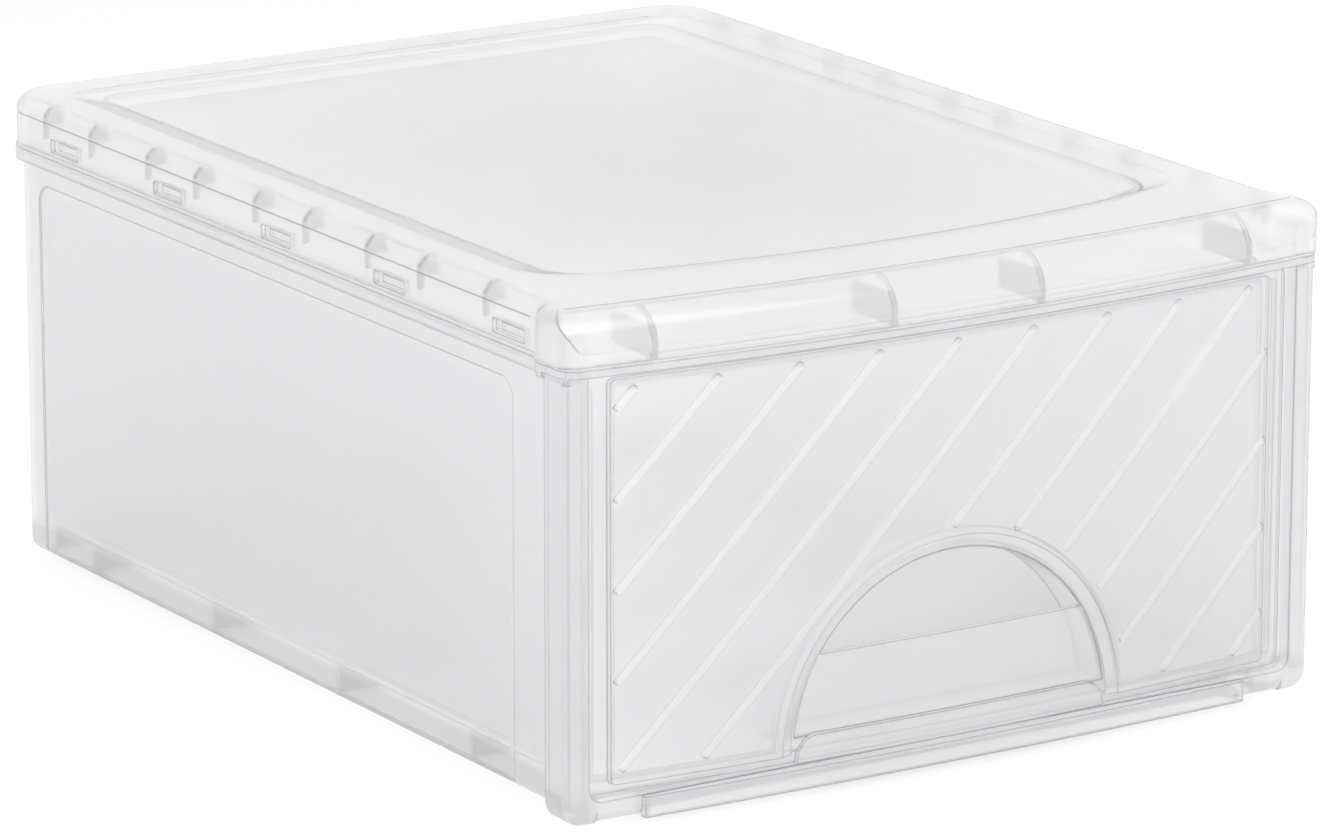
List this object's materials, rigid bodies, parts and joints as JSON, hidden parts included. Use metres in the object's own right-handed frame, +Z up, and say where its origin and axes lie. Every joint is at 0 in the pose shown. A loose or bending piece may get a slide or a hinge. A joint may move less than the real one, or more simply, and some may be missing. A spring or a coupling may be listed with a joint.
{
  "type": "drawer storage box",
  "caption": "Clear stackable storage box: an open-fronted housing with a clip-on lid and a pull-out drawer that has a half-round cup pull.",
  "frame": {"origin": "on the standing surface, under the middle of the box", "axes": "+X to the right seen from the front, -Y towards the drawer front, +Z up"},
  "size_m": [0.299, 0.4018, 0.17],
  "materials": {
    "housing": "frosted clear polypropylene",
    "lid": "frosted clear polypropylene",
    "drawer": "frosted clear polypropylene"
  },
  "bodies": {
    "housing": {"housing": "housing"},
    "lid": {"lid": "lid"},
    "drawer": {"drawer": "drawer"}
  },
  "joints": [
    {"name": "drawer_slide", "type": "slide", "parent": "housing", "child": "drawer", "axis": [0, -1, 0], "range_m": [0, 0.3]},
    {"name": "lid_lift", "type": "slide", "parent": "housing", "child": "lid", "axis": [0, 0, 1], "range_m": [0, 0.12]}
  ]
}
